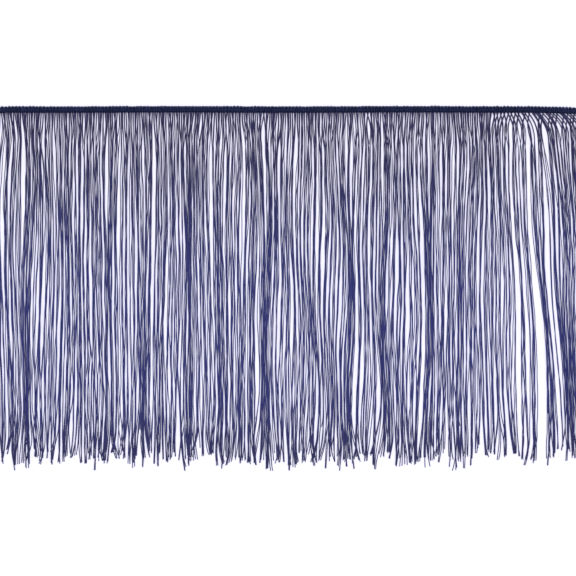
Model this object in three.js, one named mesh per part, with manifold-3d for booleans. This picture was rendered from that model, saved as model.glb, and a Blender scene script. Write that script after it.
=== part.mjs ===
// Fringe trim: a cut length of long navy fringe that lies flat, face up, on a surface.
// X runs along the heading, +Y points to the heading's scalloped edge, and Z is up from the surface.
// Every size is in millimetres.
import * as THREE from "three";
import { mergeVertices } from "three/addons/utils/BufferGeometryUtils.js";
import Module from "manifold-3d";

const wasm = await Module();
wasm.setup();

// Driving dimensions of the whole trim: its cut length, its drop from the heading's top edge to the tips,
// and its yarns' finish
const TRIM_LENGTH = 500;
const DROP = 300;
const PIECE_GAP = 0.3;
const HEADING_COLOUR = 0x1e2240;
const FRINGE_COLOUR = 0x363b6c;
const YARN_ROUGHNESS = 0.8;

// The heading: a knitted band, one stitch to a scallop, with a rib standing up on each stitch
const HEADING_HEIGHT = 4;
const HEADING_THICKNESS = 1.9;
const HEADING_EDGE = 1;
const HEADING_SHOULDER = 0.7;
const STITCH_COUNT = 170;
const SCALLOP_DEPTH = 0.5;
const RIB_DEPTH = 0.35;

// The trim's right end sags away from the straight line of the heading
const SAG_DEPTH = 1.1;
const SAG_FROM = 195;
const SAG_TO = 262;

// The row of locking stitches at the heading's lower edge, which holds the strands' roots
const STRIP_HEIGHT = 1.2;
const STRIP_THICKNESS = 1.5;
const STRIP_RELIEF = 0.2;
const STRANDS_A_STITCH = 4;
const STRIP_TOP = -PIECE_GAP;
const STRIP_MIDDLE = STRIP_TOP - STRIP_HEIGHT / 2;
const ROOT_DEPTH = HEADING_HEIGHT - STRIP_MIDDLE;

// The strands: three-sided, flat side down
const STRAND_COUNT = 280;
const STRAND_WIDTH = 0.8;
const STRAND_HEIGHT = 0.75;
const STRAND_SPACING = STRAND_WIDTH + PIECE_GAP;
const STRAND_STATIONS = [0, 0.035, 0.15, 0.5, 0.85, 1];
const LOWEST_ROOT = 0.2;
const ROOT_SPREAD = 0.35;

// How the strands leave the heading, draw together and end
const GATHER_POWER = 0.75;
const FAN_SHARE = 0.05;
const SWAY = 0.5;
const SWAY_TURNS = 2.2;
const SWAY_LENGTH = 90;
const SWAY_START = 0.1;
const SPLAY = 0.5;
const SPLAY_POWER = 12;
const SHORTEST_BY = 12;
const GOLDEN_RATIO = 0.618034;

// The locks that the strands draw into, one row a lock, from left to right:
// at    where its middle leaves the heading, measured from the start of the run
// pull  how strongly it draws strands from its neighbours
// hang  how much further than the drop its longest strand reaches
// The run is laid twice from RUN_STARTS.
const RUN_STARTS = [-244.8, -40.8];
const RUN_LOCKS = [
  { at: 0.3, pull: 1.2, hang: 4 },
  { at: 4.8, pull: 0.8, hang: -4 },
  { at: 10.2, pull: 1.3, hang: 4 },
  { at: 15.1, pull: 0.6, hang: -3 },
  { at: 23.4, pull: 1.6, hang: 8 },
  { at: 31.0, pull: 0.8, hang: -10 },
  { at: 37.4, pull: 0.9, hang: 5 },
  { at: 43.8, pull: 1.0, hang: 7 },
  { at: 51.0, pull: 1.0, hang: 1 },
  { at: 57.8, pull: 1.1, hang: 1 },
  { at: 63.3, pull: 0.7, hang: -1 },
  { at: 68.9, pull: 1.2, hang: 0 },
  { at: 74.0, pull: 0.9, hang: 5 },
  { at: 79.5, pull: 1.1, hang: 4 },
  { at: 86.7, pull: 1.1, hang: 8 },
  { at: 93.1, pull: 1.4, hang: 7 },
  { at: 99.5, pull: 0.7, hang: -3 },
  { at: 108.0, pull: 0.9, hang: 3 },
  { at: 113.9, pull: 0.9, hang: 2 },
  { at: 122.0, pull: 1.5, hang: 3 },
  { at: 129.6, pull: 0.7, hang: -2 },
  { at: 136.9, pull: 1.2, hang: 8 },
  { at: 143.7, pull: 0.9, hang: 7 },
  { at: 151.7, pull: 1.0, hang: 12 },
  { at: 160.7, pull: 1.7, hang: 4 },
  { at: 166.6, pull: 0.8, hang: 2 },
  { at: 173.0, pull: 1.1, hang: -3 },
  { at: 179.4, pull: 0.8, hang: 2 },
  { at: 187.4, pull: 1.4, hang: 8 },
  { at: 193.0, pull: 0.9, hang: 3 },
  { at: 198.6, pull: 1.1, hang: -1 },
];

// The right end, where the strands fan out. It has the run's columns and two more:
// lean  how far to the right of its root the lock's tip lies
// fan   how much of that it has covered just below the heading
const END_START = 163.2;
const END_LOCKS = [
  { at: 3.4, lean: 1.7, fan: 0, pull: 1.0, hang: -2 },
  { at: 10.2, lean: 2.6, fan: 0.3, pull: 1.0, hang: 1 },
  { at: 15.7, lean: 3.8, fan: 0.6, pull: 0.9, hang: 1 },
  { at: 20.4, lean: 5.1, fan: 1.0, pull: 1.1, hang: 4 },
  { at: 24.7, lean: 7.2, fan: 1.5, pull: 0.9, hang: 2 },
  { at: 28.5, lean: 9.8, fan: 2.0, pull: 1.0, hang: 8 },
  { at: 31.9, lean: 12.8, fan: 2.5, pull: 0.9, hang: 6 },
  { at: 34.9, lean: 15.7, fan: 3.0, pull: 0.8, hang: -1 },
  { at: 40.8, lean: 19.0, fan: 5.0, pull: 1.2, hang: 1 },
  { at: 48.0, lean: 19.6, fan: 6.5, pull: 0.9, hang: 0 },
  { at: 57.0, lean: 19.6, fan: 8.0, pull: 1.3, hang: -4 },
  { at: 66.3, lean: 19.6, fan: 9.0, pull: 1.2, hang: -3 },
  { at: 75.7, lean: 19.6, fan: 9.5, pull: 1.0, hang: -1 },
  { at: 85.0, lean: 19.6, fan: 9.5, pull: 1.0, hang: -1 },
];

// Every lock in one list, measured along X from the middle of the trim
function laidLocks() {
  const shifted = (rows, start) => rows.map((row) => ({ lean: 0, fan: 0, ...row, at: row.at + start }));
  const runs = RUN_STARTS.flatMap((start) => shifted(RUN_LOCKS, start));
  return [...runs, ...shifted(END_LOCKS, END_START)];
}

// The strands in order along the heading, each with its lock and its places at the root and at the tip
function laidStrands() {
  const locks = laidLocks();
  const pitch = TRIM_LENGTH / STRAND_COUNT;
  const members = locks.map(() => []);
  let current = 0;
  for (let index = 0; index < STRAND_COUNT; index += 1) {
    const root = -TRIM_LENGTH / 2 + (index + 0.5) * pitch;
    while (current < locks.length - 1 && root > parting(locks[current], locks[current + 1])) {
      current += 1;
    }
    members[current].push({ index, root });
  }
  return members.flatMap((strands, place) =>
    strands.map(({ index, root }, rank) => {
      const lock = locks[place];
      const fromMiddle = rank - (strands.length - 1) / 2;
      const uneven = (index * GOLDEN_RATIO) % 1;
      return {
        lock,
        root,
        tipOffset: fromMiddle * STRAND_SPACING,
        splay: (SPLAY * fromMiddle) / strands.length,
        reach: DROP + lock.hang - SHORTEST_BY * uneven - ROOT_DEPTH,
        rootHeight: LOWEST_ROOT + ROOT_SPREAD * uneven,
      };
    }),
  );
}

// Where along the heading the strands part between two neighbouring locks
function parting(left, right) {
  return left.at + ((right.at - left.at) * left.pull) / (left.pull + right.pull);
}

// A strand's place along X at a share of its length
function strandX({ lock, root, tipOffset, splay }, share) {
  const gathered = THREE.MathUtils.lerp(root - lock.at, tipOffset, share ** GATHER_POWER);
  const fanned = lock.fan * (1 - Math.exp(-share / FAN_SHARE));
  const leaned = (lock.lean - lock.fan) * share;
  const swayAngle = 2 * Math.PI * (share * SWAY_TURNS + root / SWAY_LENGTH);
  const swayed = SWAY * Math.sin(swayAngle) * Math.min(1, share / SWAY_START);
  return lock.at + gathered + fanned + leaned + swayed + splay * share ** SPLAY_POWER;
}

// How far the heading's line has dropped at a place along X
function sag(x) {
  return SAG_DEPTH * THREE.MathUtils.smoothstep(x, SAG_FROM, SAG_TO);
}

// A section extruded to unit length in even steps, with each point then moved by place(u, v, step)
function sweep(section, steps, place) {
  const shape = new THREE.Shape(section.map(([u, v]) => new THREE.Vector2(u, v)));
  const geometry = new THREE.ExtrudeGeometry(shape, { depth: 1, steps, bevelEnabled: false });
  geometry.deleteAttribute("normal");
  geometry.deleteAttribute("uv");
  const merged = mergeVertices(geometry);
  const points = merged.getAttribute("position");
  for (let index = 0; index < points.count; index += 1) {
    const step = Math.round(points.getZ(index) * steps);
    points.setXYZ(index, ...place(points.getX(index), points.getY(index), step));
  }
  return merged;
}

// The heading's band, with its scallops and ribs
function headingGeometry() {
  const crown = HEADING_HEIGHT - HEADING_SHOULDER;
  const section = [
    [0, 0],
    [HEADING_HEIGHT, 0],
    [HEADING_HEIGHT, HEADING_EDGE],
    [crown, HEADING_THICKNESS],
    [HEADING_SHOULDER, HEADING_THICKNESS],
    [0, HEADING_EDGE],
  ];
  const steps = 2 * STITCH_COUNT;
  return sweep(section, steps, (y, z, step) => {
    const x = TRIM_LENGTH * (step / steps - 0.5);
    const between = step % 2 === 0;
    const scallop = between && y > HEADING_HEIGHT / 2 ? SCALLOP_DEPTH : 0;
    const rib = between && z > HEADING_EDGE ? RIB_DEPTH : 0;
    return [x, y - scallop - sag(x), z - rib];
  });
}

// The strip that the strands' roots are locked in, drawn in and sunk a little between its stitches
function stripGeometry() {
  const section = [
    [STRIP_TOP - STRIP_HEIGHT, 0],
    [STRIP_TOP, 0],
    [STRIP_TOP, STRIP_THICKNESS],
    [STRIP_TOP - STRIP_HEIGHT, STRIP_THICKNESS],
  ];
  const steps = STRAND_COUNT / STRANDS_A_STITCH;
  return sweep(section, steps, (y, z, step) => {
    const x = TRIM_LENGTH * (step / steps - 0.5);
    const between = step % 2 === 0;
    const drawnIn = between && y < STRIP_MIDDLE ? STRIP_RELIEF : 0;
    const sunk = between && z > 0 ? STRIP_RELIEF : 0;
    return [x, y + drawnIn - sag(x), z - sunk];
  });
}

// One strand, from the middle of the strip to its tip
function strandGeometry(strand) {
  const section = [
    [-STRAND_WIDTH / 2, 0],
    [STRAND_WIDTH / 2, 0],
    [0, STRAND_HEIGHT],
  ];
  const top = STRIP_MIDDLE - sag(strand.root);
  return sweep(section, STRAND_STATIONS.length - 1, (across, height, step) => {
    const share = STRAND_STATIONS[step];
    const lift = step === 0 ? strand.rootHeight : 0;
    return [strandX(strand, share) + across, top - strand.reach * share, height + lift];
  });
}

function toSolid(geometry) {
  const vertProperties = new Float32Array(geometry.getAttribute("position").array);
  const triVerts = new Uint32Array(geometry.index.array);
  return new wasm.Manifold(new wasm.Mesh({ numProp: 3, vertProperties, triVerts }));
}

function toGeometry(solid) {
  const { vertProperties, triVerts } = solid.getMesh();
  const geometry = new THREE.BufferGeometry();
  geometry.setAttribute("position", new THREE.BufferAttribute(new Float32Array(vertProperties), 3));
  geometry.setIndex(new THREE.BufferAttribute(new Uint32Array(triVerts), 1));
  geometry.computeVertexNormals();
  return geometry;
}

// All the strands fused at their roots into the strip
function fringeGeometry() {
  const strands = laidStrands().map((strand) => toSolid(strandGeometry(strand)));
  return toGeometry(wasm.Manifold.union([toSolid(stripGeometry()), ...strands]));
}

function namedMesh(name, geometry, colour) {
  const material = new THREE.MeshStandardMaterial({ color: colour, roughness: YARN_ROUGHNESS, metalness: 0 });
  const mesh = new THREE.Mesh(geometry, material);
  mesh.name = name;
  return mesh;
}

// The origin is on the surface, under the middle of the whole trim
const trim = new THREE.Group();
trim.add(namedMesh("heading", headingGeometry(), HEADING_COLOUR));
trim.add(namedMesh("fringe", fringeGeometry(), FRINGE_COLOUR));
const middle = new THREE.Box3().setFromObject(trim).getCenter(new THREE.Vector3());
trim.position.set(-middle.x, -middle.y, 0);

export default trim;
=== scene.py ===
"""Dresses the fringe trim: twisted yarns that draw into locks, and a knitted heading, on a white floor."""

import math

import bpy
import numpy as np
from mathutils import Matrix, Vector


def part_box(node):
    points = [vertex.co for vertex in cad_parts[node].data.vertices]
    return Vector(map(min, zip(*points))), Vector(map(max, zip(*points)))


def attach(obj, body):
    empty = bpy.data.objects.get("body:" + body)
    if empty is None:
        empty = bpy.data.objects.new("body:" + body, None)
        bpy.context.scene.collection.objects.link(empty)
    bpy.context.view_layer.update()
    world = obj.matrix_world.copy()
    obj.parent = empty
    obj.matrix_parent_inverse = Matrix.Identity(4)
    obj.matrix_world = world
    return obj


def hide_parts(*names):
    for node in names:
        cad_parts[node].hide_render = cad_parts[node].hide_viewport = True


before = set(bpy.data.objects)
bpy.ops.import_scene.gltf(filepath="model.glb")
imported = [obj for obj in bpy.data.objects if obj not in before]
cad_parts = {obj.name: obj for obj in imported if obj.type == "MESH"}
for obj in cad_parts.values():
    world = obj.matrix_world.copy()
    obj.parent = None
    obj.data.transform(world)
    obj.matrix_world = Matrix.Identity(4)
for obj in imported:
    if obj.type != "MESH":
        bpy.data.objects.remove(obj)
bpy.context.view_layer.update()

# Sizes are in millimetres, in the trim's own measure: X along the heading from the trim's middle,
# Y up from the heading's lower edge, Z up from the floor
MM = 0.001
UP = (0.0, 0.0, 1.0)
SEED = 31
TRIM_LENGTH = 500.0
DROP = 300.0
HEADING_HEIGHT = 4.0
PIECE_GAP = 0.3
STRIP_HEIGHT = 1.2
STRIP_MIDDLE = -PIECE_GAP - STRIP_HEIGHT / 2
ROOT_DEPTH = HEADING_HEIGHT - STRIP_MIDDLE

# The heading's sag. At each end: how deep it gets, where it starts and where it is deepest. Along the whole
# heading, a slow wave: its length, a place where it is deepest, and its least and greatest depths
SAGS = ((1.25, 205.0, 255.0), (0.5, -231.0, -253.0))
SAG_WAVE = 204.0
SAG_WAVE_PLACE = 2.0
SAG_WAVE_DEPTHS = (-0.06, 0.2)

# Stitches, and the yarns that hang from them: each stitch has two legs of doubled yarn
STITCH_COUNT = 170
STITCH_PITCH = TRIM_LENGTH / STITCH_COUNT
LEGS_A_STITCH = 2
LEG_COUNT = STITCH_COUNT * LEGS_A_STITCH
LEG_PITCH = TRIM_LENGTH / LEG_COUNT
YARNS_A_LEG = 2
YARN_COUNT = LEG_COUNT * YARNS_A_LEG
FRINGE_PARTS = ("fringe_left", "fringe_mid_left", "fringe_mid_right", "fringe_right")

# A yarn's radius along the drop, its radius at the root and the length over which it thins from there,
# and how much the radius grows at the cut tip, and over what length
YARN_RADIUS = 0.305
ROOT_RADIUS = 0.341
ROOT_LENGTH = 24.0
BLOOM = 0.05
BLOOM_LENGTH = 70.0

# A yarn's mesh: sides, rings, and how much closer the rings lie near its root and tip
YARN_SIDES = 6
YARN_RINGS = 88
RING_CROWDING = 0.4

# The locks that the yarns draw into, one row a lock, from left to right. The columns are:
# where its middle leaves the heading, from the start of the run; how strongly it draws yarns from its
# neighbours; and how much further than the drop its longest yarn reaches. The run is laid twice
RUN_STARTS = (-244.8, -40.8)
RUN_LOCKS = (
    (0.3, 1.2, 4),
    (4.8, 0.8, -4),
    (10.2, 1.3, 4),
    (15.1, 0.6, -3),
    (23.4, 1.6, 8),
    (31.0, 0.8, -10),
    (37.4, 0.9, 5),
    (43.8, 1.0, 7),
    (51.0, 1.0, 1),
    (57.8, 1.1, 1),
    (63.3, 0.7, -1),
    (68.9, 1.2, 0),
    (74.0, 0.9, 5),
    (79.5, 1.1, 4),
    (86.7, 1.1, 8),
    (93.1, 1.7, 7),
    (99.5, 0.6, -3),
    (108.0, 0.9, 3),
    (113.9, 0.9, 2),
    (122.0, 1.5, 3),
    (129.6, 0.7, -2),
    (136.9, 1.2, 8),
    (143.7, 0.9, 7),
    (151.7, 0.7, 12),
    (160.7, 2.2, 4),
    (166.6, 0.6, 2),
    (173.0, 1.1, -3),
    (179.4, 0.8, 2),
    (187.4, 1.4, 8),
    (193.0, 0.9, 3),
    (198.6, 1.1, -1),
)

# The widest gaps between the yarns in the upper third of the run: places from its start, and widths
UPPER_GAPS = (
    (3.1, 2.4),
    (19.3, 2.6),
    (26.5, 1.0),
    (35.2, 1.4),
    (39.7, 1.4),
    (47.5, 1.6),
    (62.3, 1.2),
    (65.9, 1.4),
    (69.4, 1.0),
    (89.3, 1.0),
    (94.0, 1.4),
    (101.8, 1.8),
    (121.0, 1.3),
    (130.6, 1.0),
    (138.8, 1.2),
    (149.5, 1.6),
    (152.7, 1.0),
    (171.9, 0.9),
    (180.2, 2.2),
    (191.3, 1.2),
)

# The right end, where the yarns fan out. The columns are the run's, with two more after the first:
# how far to the right of its root the lock's tip lies, and how much of that it has covered early
END_START = 163.2
END_LOCKS = (
    (3.4, 1.7, 0.0, 1.0, -2),
    (10.2, 2.8, 0.3, 1.0, 1),
    (15.7, 4.2, 0.6, 0.9, 1),
    (20.4, 5.8, 1.0, 1.1, 4),
    (24.7, 8.2, 1.5, 0.9, 2),
    (28.5, 12.0, 2.0, 1.2, 8),
    (31.9, 16.2, 2.6, 1.1, 6),
    (34.9, 19.2, 3.2, 0.6, -1),
    (39.8, 23.6, 3.6, 1.4, 1),
    (46.0, 26.0, 5.4, 0.9, 0),
    (54.0, 24.0, 7.4, 1.5, -4),
    (64.0, 19.0, 8.8, 1.6, -3),
    (75.7, 19.6, 9.5, 1.0, -1),
    (85.0, 19.6, 9.5, 1.0, -1),
)

# Stations: the shares of the way down at which a leg passes through its set places. These are its root, its
# line after crossing, a place most of the way to its bunch, that bunch, two later bunches and its tip
STATIONS = (0.0, 0.032, 0.11, 0.3, 0.62, 0.86, 1.0)

# Crossing below the heading: how uneven the roots are, how many legs share a line, how far they lie from it,
# and how far a leg's place in their order may be off
ROOT_DOUBT = 0.12
LEGS_A_LINE = 4 / 3
CROSSING_SPREAD = 0.25
CROSSING_DOUBT = 0.5

# Bunches: how many legs they hold, how far the legs lie from the middle, and how far a leg's place in their
# order may be off. Then shares: how much of the way to its bunch a leg has gone at the station before it,
# how much of its place it keeps at each later bunching, and how much its place there owes to the bunch above
# and not to its line
BUNCH_SIZES = (1, 2, 2, 3)
BUNCH_SPREAD = 0.25
BUNCH_DOUBT = 0.42
EARLY_BUNCHING = 0.75
BUNCHES_KEPT = (0.8, 0.0)
BUNCH_MEMORY = 0.8

# Stray legs: their share, and how far they stray at first and further down
STRAY_SHARE = 0.03
EARLY_STRAY_REACH = 0.5
LATE_STRAY_REACH = 3.0

# At the right end the front legs cross to the right and the back legs to the left: how far, where it begins
# and is full, and how uneven it is. Then the shares of the drop over which front and back legs fan early
CROSS = 2 * LEG_PITCH
CROSS_FROM = 165.0
CROSS_TO = 185.0
FAN_DOUBT = 0.45
FRONT_FAN_SHARE = 0.035
BACK_FAN_SHARE = 0.2

# Further changes there: where they begin and are full, the share of the back legs that join the front ones,
# how many pitches further left these lie than the front ones, and how much lower the locks draw together,
# as a share of the drop
END_FROM = 160.0
END_TO = 225.0
END_JOINS = 0.2
JOIN_SHIFT = 0.8
END_DRAW_DELAY = 0.25

# In shares of the drop: where the locks begin to draw together and have done so, where the upper gaps open
# and close, and where the locks begin to splay. And how much of their drawing they lose by that
DRAW_FROM = 0.12
DRAW_TO = 0.42
GAPS_OPEN = (0.0, 0.16)
GAPS_CLOSE = (0.3, 0.5)
SPLAY_FROM = 0.85
SPLAY = 0.8

# A lock's width as a share of its width at the heading: the loosest, the pull above which it tightens, how
# much for each unit of pull, and the tightest. And the share of a lock's tightening that each next one feels
LOOSEST_SQUEEZE = 1.12
LOOSE_PULL = 1.0
SQUEEZE_A_PULL = 1.1
TIGHTEST_SQUEEZE = 0.55
NEIGHBOUR_DRAW = 0.65

# Groups of legs that end together: the most legs in one, how far they lie from its middle, and how far it
# bends aside. The groups' least pitch, the rounds of spacing toward it, and the share of an overlap that
# each of two neighbours moves in a round
MOST_A_TIP = 3
TIP_SPREAD = 0.35
TIP_BEND = 0.9
TIP_PITCH = 2.6
TIP_SPACINGS = 12
SPACING_STEP = 0.25

# Lengths from the heading's top: the longest yarn before its lock adds to it, and the lowest tip of all.
# Then how much shorter a group, a leg and a yarn may be, the share of broken yarns, and the range of their
# loss
LONGEST_DROP = 309.0
LOWEST_TIP = 310.5
GROUP_SHORT = 12.0
LEG_SHORT = 8.0
YARN_SHORT = 1.5
BROKEN_SHARE = 0.03
BROKEN_SHORT = (5.0, 40.0)

# How far a leg's two yarns lie from its middle, and the range of that from leg to leg. The share of it at
# the root, and the depth by which it is full. The range of its share at the tip, and the length over which
# it changes
OPENING = 0.46
OPENING_RANGE = (0.5, 1.5)
ROOT_OPENING = 0.45
OPENING_DEPTH = 30.0
TIP_OPENINGS = (0.0, 1.2)
TIP_CLOSING = 25.0

# How far the tips curl aside: a yarn alone, its group, the most of both, and the length that curls
CURL = 0.4
GROUP_CURL = 0.9
MOST_CURL = 5.0
CURL_LENGTH = 22.0

# Degrees of freedom of the random bends and curls: the fewer, the more of them reach far
BEND_FREEDOM = 4
CURL_FREEDOM = 3

# Sideways waves: lengths and sizes, of one yarn, and of a leg's opening. The ranges of both from wave to
# wave, and the depth by which the yarns wave in full
YARN_WAVES = ((150.0, 0.25), (55.0, 0.1), (24.0, 0.06))
OPENING_WAVES = ((150.0, 0.4), (50.0, 0.1), (25.0, 0.08))
LENGTH_RANGE = (0.7, 1.3)
SIZE_RANGE = (0.4, 1.6)
WAVES_DEPTH = 25.0

# How neighbouring yarns sway together: lengths down the yarns, lengths along the heading, and sizes,
# each row for as many waves
SWAYS = ((320.0, 90.0, 0.6), (170.0, 50.0, 0.33), (80.0, 30.0, 0.07))
WAVES_A_SWAY = 4

# How the yarns lie on the floor and on each other: at how many depths that is worked out, how often it is
# smoothed, how close two middles come in thicknesses, the highest middle, and how much later front yarns lie
# down. At the root: the middle's height, how far front and back differ from it, and the length of the slope
LEVELS = 84
SMOOTHINGS = 4
CONTACT = 0.9
HIGHEST_MIDDLE = 2.4
FRONT_LEAD = 0.6
ROOT_MIDDLE = 0.9
ROOT_LAYER = 0.2
ROOT_SLOPE = 12.0

# The heading's loops: half the space between a leg's two yarns, the yarn's radius and sides, points on the
# top and on each leg, how far the tops stand above the heading and how unevenly, the height of the yarn's
# middle, and how much lower it is at the top
LEG_HALF_GAP = 0.3
LOOP_RADIUS = 0.4
LOOP_SIDES = 6
LOOP_ARC_POINTS = 11
LOOP_LEG_POINTS = 3
LOOP_RISE = 0.27
LOOP_UNEVENNESS = 0.16
LOOP_MIDDLE = 0.95
LOOP_TOP_DROP = 0.25

# The braids that bind the loops: their rows, strands, the strand's radius and sides, how far it swings aside
# and up, the height of its middle, and rings to a stitch. The locking braid is thicker, wider and higher
BRAID_ROWS = (0.7, 2.1)
BRAID_STRANDS = 3
BRAID_RADIUS = 0.17
BRAID_SIDES = 4
BRAID_WIDTH = 0.32
BRAID_DEPTH = 0.14
BRAID_MIDDLE = 1.02
BRAID_RINGS = 12
LOCKING_RADIUS = 0.26
LOCKING_WIDTH = 0.52
LOCKING_MIDDLE = 1.5

# The yarns' twist and surface: plies, the length of one full turn, the fibres' scale, detail and height
# against the plies', and the bump's strength and depth
PLIES = 2
TURN_LENGTH = 4.8
FIBRE_SCALE = 6.0
FIBRE_DETAIL = 3.0
FIBRE_HEIGHT = 0.25
BUMP_STRENGTH = 0.5
BUMP_DEPTH = 0.12

# The yarns' colours, dark and light, and how much of the way between them the painted shade in the ply
# grooves, the yarn's own tint and the uneven dye each make. Then the dye's scale and detail, the depth over
# which the roots' colours give way, and the depths between which they come back toward the tips, and how far
HEADING_SHADES = ((0.0028, 0.0042, 0.0193), (0.0152, 0.0219, 0.0735))
FRINGE_SHADES = ((0.0205, 0.0236, 0.117), (0.0375, 0.043, 0.204))
ROOT_SHADES = ((0.0175, 0.0165, 0.061), (0.031, 0.0295, 0.1))
HEADING_TONES = (0.15, 0.75, 0.1)
FRINGE_TONES = (0.35, 0.4, 0.25)
DYE_SCALE = 0.35
DYE_DETAIL = 2.0
ROOT_FADE = 162.0
TIP_FADE = (235.0, 305.0)
TIP_DULLNESS = 0.8

# The yarns' gloss: specular level and sheen of each, and what they share
HEADING_GLOSS = (0.1, 0.0)
FRINGE_GLOSS = (0.2, 0.1)
YARN_ROUGHNESS = 0.72
SHEEN_ROUGHNESS = 0.4
SHEEN_TINT = (0.55, 0.6, 1.0)

# Floor and light, placed from the frame's origin: the lamp's power, size and place, and the light all round
FLOOR_HALF = 3000.0
FLOOR_COLOUR = (0.79, 0.785, 0.935)
FLOOR_ROUGHNESS = 0.9
LAMP_POWER = 22.6
LAMP_SIZE = 1600.0
LAMP_PLACE = (-50.0, 0.0, 1600.0)
WORLD_COLOUR = (1.0, 1.0, 1.0)
WORLD_STRENGTH = 0.656

# Camera: the photograph's frame, straight above the trim
PHOTO_WIDTH = 576
MM_A_PIXEL = 0.85
HEADING_TOP_PIXEL = 106.2
LENS = 85.0
SENSOR = 36.0

# From the trim's own measure to the frame's
heading_low, heading_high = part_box("heading")
SHIFT = np.array(
    [
        (heading_low[0] + heading_high[0]) / 2,
        heading_high[1] - HEADING_HEIGHT * MM,
        0.0,
    ]
)


def smooth(value, start, end):
    """0 up to start, 1 from end on, and an even curve between."""
    share = np.clip((value - start) / (end - start), 0, 1)
    return share * share * (3 - 2 * share)


def sag(x):
    """How far the heading's line has dropped at a place along X."""
    least, most = SAG_WAVE_DEPTHS
    wave = np.cos(2 * np.pi * (x - SAG_WAVE_PLACE) / SAG_WAVE)
    drop = (least + most) / 2 + (most - least) / 2 * wave
    return drop + sum(depth * smooth(x, start, end) for depth, start, end in SAGS)


def column(values):
    """A value for each yarn, ready to meet a row of depths."""
    return values[:, None]


def laid_locks():
    """Every lock's columns, measured along X from the middle of the trim."""
    rows = [(at + start, 0, 0, pull, hang) for start in RUN_STARTS for at, pull, hang in RUN_LOCKS]
    rows += [(at + END_START, *rest) for at, *rest in END_LOCKS]
    at, lean, fan, pull, hang = np.array(rows, float).T
    return {"at": at, "lean": lean, "fan": fan, "pull": pull, "hang": hang}


def make_waves(rng, count, waves):
    """Uneven sideways waves: sizes, rates and phases, a row for each of count things."""
    lengths, sizes = np.array(waves).T
    size = sizes * rng.uniform(*SIZE_RANGE, (count, len(waves)))
    rate = 2 * np.pi / (lengths * rng.uniform(*LENGTH_RANGE, (count, len(waves))))
    phase = rng.uniform(0, 2 * np.pi, (count, len(waves)))
    return size, rate, phase


def wave_at(waves, rows, depth):
    """The waves of the given rows at each depth, starting from nothing at the heading."""
    size, rate, phase = (values[rows][:, None, :] for values in waves)
    return (size * (np.sin(rate * depth[:, :, None] + phase) - np.sin(phase))).sum(axis=2)


def make_sway(rng):
    """Slanting waves over the whole fringe: sizes, rates down it, rates along the heading and phases."""
    down, across, size = np.repeat(np.array(SWAYS), WAVES_A_SWAY, axis=0).T
    uneven = rng.uniform(*LENGTH_RANGE, (2, len(size)))
    slant = rng.choice((-1.0, 1.0), len(size))
    phase = rng.uniform(0, 2 * np.pi, len(size))
    return size, 2 * np.pi / (down * uneven[0]), slant * 2 * np.pi / (across * uneven[1]), phase


def sway_at(sway, x, depth):
    """How far the yarns that start at x have swayed at each depth."""
    moved = np.zeros(np.broadcast_shapes(x.shape, depth.shape))
    for size, down, across, phase in zip(*sway):
        moved += size * np.sin(down * depth + across * x + phase)
    return moved


def ranked(rng, places, doubt, stray_reach):
    """The legs' order along the heading, with doubt about their places, and a few that stray."""
    stray = rng.random(len(places)) < STRAY_SHARE
    wish = places + rng.normal(0, np.where(stray, stray_reach, doubt))
    return np.argsort(np.argsort(wish))


def line_up(rng, places):
    """Sorts the legs, in about their order along the heading, into evenly spaced lines."""
    rank = ranked(rng, places, CROSSING_DOUBT, EARLY_STRAY_REACH)
    line = ((rank + 0.5) / LEGS_A_LINE).astype(int)
    even = (line + 0.5) * LEGS_A_LINE * LEG_PITCH - TRIM_LENGTH / 2
    return even + rng.normal(0, CROSSING_SPREAD, len(places))


def gather(rng, places, stray_reach):
    """Gathers the legs, in about their order along the heading, into evenly spread bunches."""
    count = len(places)
    rank = ranked(rng, places, BUNCH_DOUBT, stray_reach)
    even = (rank + 0.5) * LEG_PITCH - TRIM_LENGTH / 2
    bunch = np.repeat(np.arange(count), rng.choice(BUNCH_SIZES, count))[rank]
    middle = np.bincount(bunch, even) / np.bincount(bunch)
    return middle[bunch] + rng.normal(0, BUNCH_SPREAD, count)


def choose_tips(rng, places):
    """Joins neighbouring legs in small groups that end together: each leg's group and its tip's place."""
    count = len(places)
    sizes = rng.integers(1, MOST_A_TIP + 1, count)
    group = np.empty(count, int)
    group[np.argsort(places)] = np.repeat(np.arange(count), sizes)[:count]
    middle = np.bincount(group, places) / np.bincount(group)
    middle += TIP_BEND * rng.standard_t(BEND_FREEDOM, len(middle))
    order = np.argsort(middle)
    for _ in range(TIP_SPACINGS):
        crowding = np.maximum(TIP_PITCH - np.diff(middle[order]), 0)
        middle[order[:-1]] -= SPACING_STEP * crowding
        middle[order[1:]] += SPACING_STEP * crowding
    return group, middle[group] + rng.normal(0, TIP_SPREAD, count)


def cross_and_bunch(rng, even_root, ended):
    """Each leg's root, layer, first bunch, places at the stations, and the group in which it ends."""
    odd = np.arange(LEG_COUNT) % LEGS_A_STITCH == 1
    joins = odd & (rng.random(LEG_COUNT) < END_JOINS * ended)
    front = ~odd | joins
    uneven = rng.normal(0, 1, LEG_COUNT)
    root = even_root + ROOT_DOUBT * uneven
    fanned = even_root + np.where(front, CROSS, -CROSS) - np.where(joins, JOIN_SHIFT * LEG_PITCH, 0)
    fanned += FAN_DOUBT * uneven
    crossed = line_up(rng, root)
    crossed += (fanned - crossed) * smooth(even_root, CROSS_FROM, CROSS_TO)
    bunched = gather(rng, crossed, EARLY_STRAY_REACH)
    places = [root, crossed, crossed + EARLY_BUNCHING * (bunched - crossed), bunched]
    for kept in BUNCHES_KEPT:
        remembered = BUNCH_MEMORY * places[-1] + (1 - BUNCH_MEMORY) * crossed
        again = gather(rng, remembered, LATE_STRAY_REACH)
        places.append(kept * places[-1] + (1 - kept) * again)
    group, tips = choose_tips(rng, places[-1])
    places.append(tips)
    return {"root": root, "front": front, "bunched": bunched, "places": np.array(places).T, "group": group}


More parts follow.
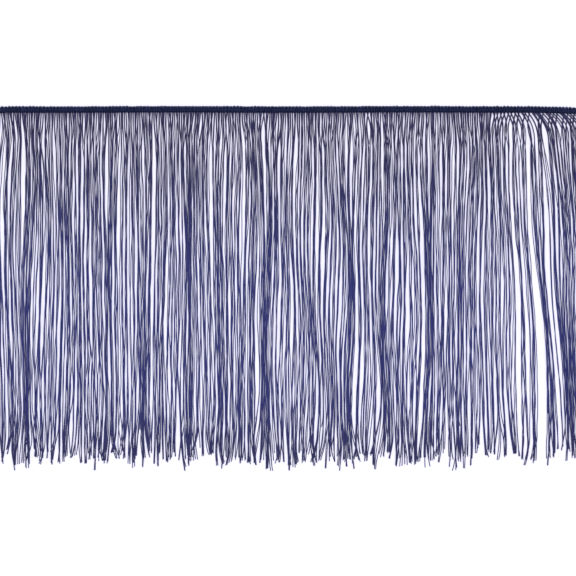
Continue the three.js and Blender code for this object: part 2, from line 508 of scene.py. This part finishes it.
def draw_in(at, partings, squeeze):
    """How far each lock moves toward its neighbours, near and far, as they tighten in the run."""
    edges = np.concatenate([at[:1], partings, at[-1:]])
    slack = np.diff(edges) * (1 - squeeze) * (at < END_START)
    steps = np.arange(len(at)) - column(np.arange(len(at)))
    return (np.sign(steps) * NEIGHBOUR_DRAW ** np.abs(steps)) @ slack / 2


def make_way(places):
    """How far each leg moves aside for the gaps of the upper third."""
    rows = [(start + at, width) for start in RUN_STARTS for at, width in UPPER_GAPS]
    at, width = np.array([(-TRIM_LENGTH / 2, 0.0), *rows, (END_START, 0.0), (TRIM_LENGTH, 0.0)]).T
    right = np.clip(np.searchsorted(at, places), 1, len(at) - 1)
    left = right - 1
    share = np.clip((places - at[left]) / (at[right] - at[left]), 0, 1)
    return (width[left] * (1 - share) - width[right] * share) / 2


def lay_legs():
    """Each leg's places at the stations, how its lock draws it, its reach and its waves."""
    rng = np.random.default_rng(SEED)
    even_root = -TRIM_LENGTH / 2 + (np.arange(LEG_COUNT) + 0.5) * LEG_PITCH
    ended = smooth(even_root, END_FROM, END_TO)
    legs = cross_and_bunch(rng, even_root, ended)
    group = legs["group"]

    locks = laid_locks()
    at, pull = locks["at"], locks["pull"]
    partings = at[:-1] + (at[1:] - at[:-1]) * pull[:-1] / (pull[:-1] + pull[1:])
    lock = np.searchsorted(partings, legs["bunched"])
    squeeze = LOOSEST_SQUEEZE - SQUEEZE_A_PULL * np.maximum(pull - LOOSE_PULL, 0)
    squeeze = np.maximum(squeeze, TIGHTEST_SQUEEZE)
    short = GROUP_SHORT * rng.random(LEG_COUNT)[group] + LEG_SHORT * rng.random(LEG_COUNT)
    hang = locks["hang"][lock] * rng.random(LEG_COUNT)[group]
    return legs | {
        "at": at[lock],
        "squeeze": squeeze[lock] - 1,
        "draw_in": draw_in(at, partings, squeeze)[lock],
        "draw_delay": END_DRAW_DELAY * ended,
        "gap_shift": make_way(legs["bunched"]),
        "lean": locks["lean"][lock],
        "fan": locks["fan"][lock],
        "fan_share": np.where(legs["front"], FRONT_FAN_SHARE, BACK_FAN_SHARE),
        "reach": np.minimum(LONGEST_DROP + hang - short, LOWEST_TIP) - ROOT_DEPTH,
        "opening": OPENING * rng.uniform(*OPENING_RANGE, LEG_COUNT),
        "sway": make_sway(rng),
        "opening_waves": make_waves(rng, LEG_COUNT, OPENING_WAVES),
        "tip_opening": rng.uniform(*TIP_OPENINGS, LEG_COUNT),
        "tip_curl": GROUP_CURL * rng.standard_t(CURL_FREEDOM, LEG_COUNT)[group],
    }


def lay_yarns(legs):
    """Each leg's two yarns: their side of the leg, reach, waves, tint, order of lying down and curl."""
    rng = np.random.default_rng(SEED + 1)
    leg = np.repeat(np.arange(LEG_COUNT), YARNS_A_LEG)
    short = YARN_SHORT * rng.random(YARN_COUNT)
    broken = rng.random(YARN_COUNT) < BROKEN_SHARE
    short += np.where(broken, rng.uniform(*BROKEN_SHORT, YARN_COUNT), 0)
    waves = make_waves(rng, YARN_COUNT, YARN_WAVES)
    tint = rng.random(YARN_COUNT)
    order = np.argsort(rng.random(YARN_COUNT) + FRONT_LEAD * legs["front"][leg])
    curl = legs["tip_curl"][leg] + CURL * rng.standard_t(CURL_FREEDOM, YARN_COUNT)
    return {
        "leg": leg,
        "side": np.tile((-1.0, 1.0), LEG_COUNT),
        "reach": legs["reach"][leg] - short,
        "waves": waves,
        "tint": tint,
        "order": order,
        "curl": np.clip(curl, -MOST_CURL, MOST_CURL),
    }


def route(places, share):
    """A smooth curve through each row's places at the stations, read at the row's shares of the way down."""
    stations = np.array(STATIONS)
    gaps = np.diff(stations)
    slopes = np.diff(places, axis=1) / gaps
    inner = (slopes[:, :-1] * gaps[1:] + slopes[:, 1:] * gaps[:-1]) / (gaps[1:] + gaps[:-1])
    tangents = np.concatenate([slopes[:, :1], inner, slopes[:, -1:]], axis=1)
    span = np.clip(np.searchsorted(stations, share, side="right") - 1, 0, len(gaps) - 1)
    row = column(np.arange(len(places)))
    along = (share - stations[span]) / gaps[span]
    end = along**2 * (3 - 2 * along)
    x = places[row, span] * (1 - end) + places[row, span + 1] * end
    bend = tangents[row, span] * (along - 1) + tangents[row, span + 1] * along
    return x + gaps[span] * along * (along - 1) * bend


def of_legs(legs, yarns, *keys):
    """Values of the yarns' legs, each ready to meet a row of depths."""
    return [column(legs[key][yarns["leg"]]) for key in keys]


def leg_x(legs, yarns, depth):
    """The place along X of each yarn's leg, without waves, at the yarn's row of depths below the root."""
    at, squeeze, shift, delay = of_legs(legs, yarns, "at", "squeeze", "draw_in", "draw_delay")
    lean, fan, fan_share = of_legs(legs, yarns, "lean", "fan", "fan_share")
    aside, reach = of_legs(legs, yarns, "gap_shift", "reach")
    down = depth / DROP
    x = route(legs["places"][yarns["leg"]], depth / reach)
    drawn = smooth(down - delay, DRAW_FROM, DRAW_TO) - SPLAY * smooth(down, SPLAY_FROM, 1)
    x += ((x - at) * squeeze + shift) * drawn
    x += aside * (smooth(down, *GAPS_OPEN) - smooth(down, *GAPS_CLOSE))
    x += fan * (1 - np.exp(-down / fan_share)) + (lean - fan) * down
    return x


def opening_at(legs, yarns, depth):
    """How far each yarn lies from its leg's middle at its row of depths."""
    opening, tip_opening, reach = of_legs(legs, yarns, "opening", "tip_opening", "reach")
    opened = smooth(depth, 0, OPENING_DEPTH)
    parting = opening * (ROOT_OPENING + (1 - ROOT_OPENING) * opened)
    parting += wave_at(legs["opening_waves"], yarns["leg"], depth) * opened
    return parting * (tip_opening + (1 - tip_opening) * smooth(reach - depth, 0, TIP_CLOSING))


def yarn_x(legs, yarns, depth):
    """Each yarn's place along X at its row of depths below the root."""
    wander = sway_at(legs["sway"], column(legs["root"][yarns["leg"]]), depth)
    wander += wave_at(yarns["waves"], np.arange(YARN_COUNT), depth)
    x = leg_x(legs, yarns, depth) + wander * smooth(depth, 0, WAVES_DEPTH)
    curled = np.clip(1 - (column(yarns["reach"]) - depth) / CURL_LENGTH, 0, 1)
    return x + column(yarns["side"]) * opening_at(legs, yarns, depth) + column(yarns["curl"]) * curled**2


def settle(x, present, order):
    """Heights of the yarns' middles at one depth: each, in order, comes down on those already there."""
    touch = 2 * YARN_RADIUS * CONTACT
    heights = np.full(len(x), YARN_RADIUS)
    laid = []
    for yarn in order[present[order]]:
        if laid:
            apart = np.abs(x[laid] - x[yarn])
            near = apart < touch
            if near.any():
                over = heights[laid][near] + np.sqrt(touch**2 - apart[near] ** 2)
                heights[yarn] = min(over.max(), HIGHEST_MIDDLE)
        laid.append(yarn)
    return heights


def yarn_heights(legs, yarns, depth):
    """Each yarn's height at its row of depths: from the heading down onto the floor and other yarns."""
    levels = np.linspace(0, yarns["reach"].max(), LEVELS)
    x = yarn_x(legs, yarns, np.tile(levels, (YARN_COUNT, 1)))
    heights = np.empty_like(x)
    for level, down in enumerate(levels):
        heights[:, level] = settle(x[:, level], yarns["reach"] >= down, yarns["order"])
    for _ in range(SMOOTHINGS):
        padded = np.pad(heights, ((0, 0), (1, 1)), mode="edge")
        heights = (padded[:, :-2] + 2 * heights + padded[:, 2:]) / 4
    resting = np.array([np.interp(row, levels, own) for row, own in zip(depth, heights)])
    front = legs["front"][yarns["leg"]]
    rooted = column(ROOT_MIDDLE + np.where(front, ROOT_LAYER, -ROOT_LAYER))
    landed = smooth(depth, 0, ROOT_SLOPE)
    return rooted * (1 - landed) + resting * landed


def yarn_paths(legs, yarns):
    """Points along each yarn, closer together near its root and its tip, and the yarn's radius at each."""
    even = np.linspace(0, 1, YARN_RINGS)
    share = even - RING_CROWDING / (2 * np.pi) * np.sin(2 * np.pi * even)
    reach = column(yarns["reach"])
    depth = reach * share
    x = yarn_x(legs, yarns, depth)
    y = STRIP_MIDDLE - column(sag(legs["root"][yarns["leg"]])) - depth
    radii = ROOT_RADIUS + (YARN_RADIUS - ROOT_RADIUS) * smooth(depth, 0, ROOT_LENGTH)
    radii += BLOOM * (1 - smooth(reach - depth, 0, BLOOM_LENGTH))
    return np.stack([x, y, yarn_heights(legs, yarns, depth)], axis=2), radii


def loop_paths():
    """The heading's loops: two yarns to a stitch, one round the other, with uneven round tops."""
    lifts = np.random.default_rng(SEED).normal(0, LOOP_UNEVENNESS, STITCH_COUNT)
    angles = np.linspace(np.pi, 0, LOOP_ARC_POINTS)
    foot = STRIP_MIDDLE - STRIP_HEIGHT / 2
    spring = HEADING_HEIGHT + LOOP_RISE - LOOP_RADIUS - LEG_PITCH / 2 - LEG_HALF_GAP
    leg = np.linspace(foot, spring, LOOP_LEG_POINTS + 1)[:-1]
    across = np.pad(np.cos(angles), LOOP_LEG_POINTS, mode="edge")
    lifted = np.pad(np.sin(angles), LOOP_LEG_POINTS)
    z = LOOP_MIDDLE - LOOP_TOP_DROP * lifted
    paths = []
    for half_width in (LEG_PITCH / 2 - LEG_HALF_GAP, LEG_PITCH / 2 + LEG_HALF_GAP):
        y = np.concatenate([leg, spring + half_width * np.sin(angles), leg[::-1]])
        for stitch in range(STITCH_COUNT):
            x = -TRIM_LENGTH / 2 + (stitch + 0.5) * STITCH_PITCH + half_width * across
            paths.append(np.stack([x, y + lifts[stitch] * lifted - sag(x), z], axis=1))
    return np.array(paths)


def braid_paths(rows, width, middle):
    """Flat three-strand braids along the heading, a stitch to a turn."""
    turn = np.linspace(0, 2 * np.pi * STITCH_COUNT, STITCH_COUNT * BRAID_RINGS + 1)
    x = TRIM_LENGTH * (turn / turn[-1] - 0.5)
    paths = []
    for row in rows:
        for strand in range(BRAID_STRANDS):
            phase = 2 * np.pi * strand / BRAID_STRANDS
            y = row + width * np.sin(turn + phase) - sag(x)
            z = middle + BRAID_DEPTH * np.sin(2 * (turn + phase))
            paths.append(np.stack([x, y, z], axis=1))
    return np.array(paths)


def tube_rings(paths, radii, sides):
    """Points round each path: paths by rings by sides."""
    along = np.gradient(paths, axis=1)
    along /= np.linalg.norm(along, axis=2, keepdims=True)
    aside = np.cross(along, UP)
    aside /= np.linalg.norm(aside, axis=2, keepdims=True)
    above = np.cross(aside, along)
    angles = 2 * np.pi * np.arange(sides) / sides
    out = aside[:, :, None] * np.cos(angles)[:, None] + above[:, :, None] * np.sin(angles)[:, None]
    return paths[:, :, None] + out * radii[:, :, None, None]


def tube_faces(count, rings, sides):
    """Corner lists of the quads along the tubes and of their end caps."""
    points = np.arange(count * rings * sides).reshape(count, rings, sides)
    following = np.roll(points, -1, axis=2)
    quads = np.stack([points[:, :-1], points[:, 1:], following[:, 1:], following[:, :-1]], axis=-1)
    caps = np.concatenate([points[:, 0], points[:, -1, ::-1]])
    return quads.reshape(-1, 4), caps


def tube_map(paths, sides):
    """Texture places of the quads' corners: once round, and millimetres along."""
    steps = np.linalg.norm(np.diff(paths, axis=1), axis=2)
    length = np.concatenate([np.zeros((len(paths), 1)), np.cumsum(steps, axis=1)], axis=1)
    start, end = length[:, :-1, None], length[:, 1:, None]
    left = np.arange(sides) / sides
    right = left + 1 / sides
    corners = [(left, start), (left, end), (right, end), (right, start)]
    pairs = [np.stack(np.broadcast_arrays(u, v), axis=-1) for u, v in corners]
    return np.stack(pairs, axis=3).reshape(-1, 2)


def tube_piece(name, paths, radii, sides, tints, material):
    """One mesh piece of closed tubes along the paths, with a texture map and a tint for each tube."""
    count, rings, _ = paths.shape
    points = tube_rings(paths, radii, sides).reshape(-1, 3) * MM + SHIFT
    quads, caps = tube_faces(count, rings, sides)
    corners = np.concatenate([quads.ravel(), caps.ravel()]).astype(np.int32)
    sizes = np.concatenate([np.full(len(faces), faces.shape[1]) for faces in (quads, caps)])
    starts = (np.cumsum(sizes) - sizes).astype(np.int32)

    mesh = bpy.data.meshes.new(name)
    mesh.vertices.add(len(points))
    mesh.vertices.foreach_set("co", points.astype(np.float32).ravel())
    mesh.loops.add(len(corners))
    mesh.loops.foreach_set("vertex_index", corners)
    mesh.polygons.add(len(sizes))
    mesh.polygons.foreach_set("loop_start", starts)
    mesh.polygons.foreach_set("use_smooth", np.ones(len(sizes), bool))
    places = np.zeros((len(corners), 2), np.float32)
    places[: quads.size] = tube_map(paths, sides)
    mesh.uv_layers.new(name="yarn").uv.foreach_set("vector", places.ravel())
    tint = mesh.attributes.new("tint", "FLOAT", "POINT")
    tint.data.foreach_set("value", np.repeat(tints, rings * sides).astype(np.float32))
    mesh.update(calc_edges=True)
    mesh.validate()
    mesh.materials.append(material)
    piece = bpy.data.objects.new(name, mesh)
    bpy.context.scene.collection.objects.link(piece)
    return piece


class Shader:
    """A material's nodes, added and joined in one call each."""

    # The mix node's own numbers for its two colours and for what comes out
    MIX_FIRST = 6
    MIX_SECOND = 7
    MIX_RESULT = 2

    def __init__(self, name):
        self.material = bpy.data.materials.new(name)
        self.material.use_nodes = True
        self.tree = self.material.node_tree
        self.surface = self.tree.nodes["Principled BSDF"]

    def add(self, kind, inputs=None, **settings):
        """A new node with its settings, and with its inputs set or joined."""
        node = self.tree.nodes.new(kind)
        for setting, value in settings.items():
            setattr(node, setting, value)
        for socket, value in (inputs or {}).items():
            self.give(node, socket, value)
        return node

    def give(self, node, socket, value):
        """Joins another node's output to the socket, or sets the socket to a plain value."""
        if isinstance(value, bpy.types.NodeSocket):
            self.tree.links.new(value, node.inputs[socket])
        else:
            node.inputs[socket].default_value = value

    def math(self, operation, *values):
        """The result of an operation on the values."""
        node = self.add("ShaderNodeMath", dict(enumerate(values)), operation=operation)
        return node.outputs[0]

    def mix(self, factor, first, second):
        """A colour between the first and the second."""
        inputs = {"Factor": factor, self.MIX_FIRST: first, self.MIX_SECOND: second}
        node = self.add("ShaderNodeMix", inputs, data_type="RGBA")
        return node.outputs[self.MIX_RESULT]

    def ease(self, value, start, end, first, last):
        """The first number up to start, the last from end on, and an even curve between."""
        inputs = {"Value": value, "From Min": start, "From Max": end, "To Min": first, "To Max": last}
        node = self.add("ShaderNodeMapRange", inputs, interpolation_type="SMOOTHSTEP")
        return node.outputs[0]

    def noise(self, place, scale, detail):
        """An uneven number that changes with the place."""
        node = self.add("ShaderNodeTexNoise", {"Vector": place, "Scale": scale, "Detail": detail})
        return node.outputs["Fac"]


def yarn_material(name, shades, root_shades, tones, gloss):
    """Twisted yarn: ply grooves and fibres, with painted shade in the grooves, uneven dye, a tint for each
    yarn, and duller roots and tips.
    """
    shader = Shader(name)
    place = shader.add("ShaderNodeUVMap", uv_map="yarn").outputs[0]
    round_yarn, depth, _ = shader.add("ShaderNodeSeparateXYZ", {0: place}).outputs
    # The plies' ridges: 1 on a crest, 0 in a groove. They make the bump, and also the painted shade in the
    # grooves
    winding = shader.math("ADD", round_yarn, shader.math("MULTIPLY", depth, 1 / TURN_LENGTH))
    wave = shader.math("SINE", shader.math("MULTIPLY", winding, 2 * math.pi * PLIES))
    ply_ridge_and_shade = shader.math("MULTIPLY_ADD", wave, 0.5, 0.5)

    tint = shader.add("ShaderNodeAttribute", attribute_name="tint").outputs["Fac"]
    dye = shader.noise(place, DYE_SCALE, DYE_DETAIL)
    # Painted shade: the ply grooves are painted darker and the crests lighter, mixed with the yarn's tint
    # and uneven dye
    tone = shader.math("MULTIPLY", ply_ridge_and_shade, tones[0])
    tone = shader.math("MULTIPLY_ADD", tint, tones[1], tone)
    tone = shader.math("MULTIPLY_ADD", dye, tones[2], tone)
    dark, light, root_dark, root_light = ((*shade, 1.0) for shade in shades + root_shades)
    below_root = shader.ease(depth, 0.0, ROOT_FADE, 0.0, 1.0)
    above_tip = shader.ease(depth, *TIP_FADE, 1.0, 1 - TIP_DULLNESS)
    brightness = shader.math("MULTIPLY", below_root, above_tip)
    root_colour = shader.mix(tone, root_dark, root_light)
    colour = shader.mix(tone, dark, light)
    shader.give(shader.surface, "Base Color", shader.mix(brightness, root_colour, colour))

    fibres = shader.noise(place, FIBRE_SCALE, FIBRE_DETAIL)
    height = shader.math("MULTIPLY_ADD", fibres, FIBRE_HEIGHT, ply_ridge_and_shade)
    bump = shader.add(
        "ShaderNodeBump",
        {"Strength": BUMP_STRENGTH, "Distance": BUMP_DEPTH * MM, "Height": height},
    )
    specular, sheen = gloss
    shader.give(shader.surface, "Normal", bump.outputs[0])
    shader.give(shader.surface, "Roughness", YARN_ROUGHNESS)
    shader.give(shader.surface, "Specular IOR Level", specular)
    shader.give(shader.surface, "Sheen Weight", sheen)
    shader.give(shader.surface, "Sheen Roughness", SHEEN_ROUGHNESS)
    shader.give(shader.surface, "Sheen Tint", (*SHEEN_TINT, 1.0))
    return shader.material


def dress(piece, node):
    """Attaches a piece to the root body and hides the CAD part that it takes the place of."""
    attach(piece, "root")
    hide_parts(node)


def make_fringe(material):
    """The yarns, in four pieces from left to right."""
    legs = lay_legs()
    yarns = lay_yarns(legs)
    paths, radii = yarn_paths(legs, yarns)
    parts = np.array_split(np.arange(YARN_COUNT), len(FRINGE_PARTS))
    for name, own in zip(FRINGE_PARTS, parts):
        piece = tube_piece(name, paths[own], radii[own], YARN_SIDES, yarns["tint"][own], material)
        dress(piece, "fringe")


def make_heading(material):
    """The loops, the braids that bind them, and the braid that locks the yarns' roots."""
    rng = np.random.default_rng(SEED)
    bindings = braid_paths(BRAID_ROWS, BRAID_WIDTH, BRAID_MIDDLE)
    locking = braid_paths((STRIP_MIDDLE,), LOCKING_WIDTH, LOCKING_MIDDLE)
    forms = (
        ("heading_loops", loop_paths(), LOOP_RADIUS, LOOP_SIDES, "heading"),
        ("heading_braids", bindings, BRAID_RADIUS, BRAID_SIDES, "heading"),
        ("locking_braid", locking, LOCKING_RADIUS, BRAID_SIDES, "fringe"),
    )
    for name, paths, radius, sides, node in forms:
        radii = np.full(paths.shape[:2], radius)
        piece = tube_piece(name, paths, radii, sides, rng.random(len(paths)), material)
        dress(piece, node)


def make_floor():
    """A white floor, far wider than the trim."""
    half = FLOOR_HALF * MM
    mesh = bpy.data.meshes.new("floor")
    corners = [(-half, -half, 0), (half, -half, 0), (half, half, 0), (-half, half, 0)]
    mesh.from_pydata(corners, [], [(0, 1, 2, 3)])
    shader = Shader("floor_white")
    shader.give(shader.surface, "Base Color", (*FLOOR_COLOUR, 1.0))
    shader.give(shader.surface, "Roughness", FLOOR_ROUGHNESS)
    shader.give(shader.surface, "Specular IOR Level", 0.0)
    mesh.materials.append(shader.material)
    floor = bpy.data.objects.new("floor", mesh)
    bpy.context.scene.collection.objects.link(floor)


def make_light():
    """Even white light all round, and one large soft lamp above."""
    world = bpy.data.worlds.new("studio")
    world.use_nodes = True
    background = world.node_tree.nodes["Background"]
    background.inputs["Color"].default_value = (*WORLD_COLOUR, 1.0)
    background.inputs["Strength"].default_value = WORLD_STRENGTH
    bpy.context.scene.world = world
    lamp = bpy.data.lights.new("lamp", "AREA")
    lamp.energy = LAMP_POWER
    lamp.size = LAMP_SIZE * MM
    holder = bpy.data.objects.new("lamp", lamp)
    holder.location = np.array(LAMP_PLACE) * MM
    bpy.context.scene.collection.objects.link(holder)


def make_camera():
    """Straight above the point in the middle of the photograph's frame."""
    half_frame = PHOTO_WIDTH / 2 * MM_A_PIXEL
    middle_y = HEADING_HEIGHT - (PHOTO_WIDTH / 2 - HEADING_TOP_PIXEL) * MM_A_PIXEL
    camera = bpy.data.cameras.new("camera")
    camera.lens = LENS
    camera.sensor_width = SENSOR
    holder = bpy.data.objects.new("camera", camera)
    above = half_frame * LENS / (SENSOR / 2)
    holder.location = SHIFT + np.array([0.0, middle_y, above]) * MM
    bpy.context.scene.collection.objects.link(holder)
    bpy.context.scene.camera = holder


make_fringe(yarn_material("fringe_yarn", FRINGE_SHADES, ROOT_SHADES, FRINGE_TONES, FRINGE_GLOSS))
make_heading(yarn_material("heading_yarn", HEADING_SHADES, HEADING_SHADES, HEADING_TONES, HEADING_GLOSS))
make_floor()
make_light()
make_camera()
bpy.context.scene.view_settings.view_transform = "Standard"
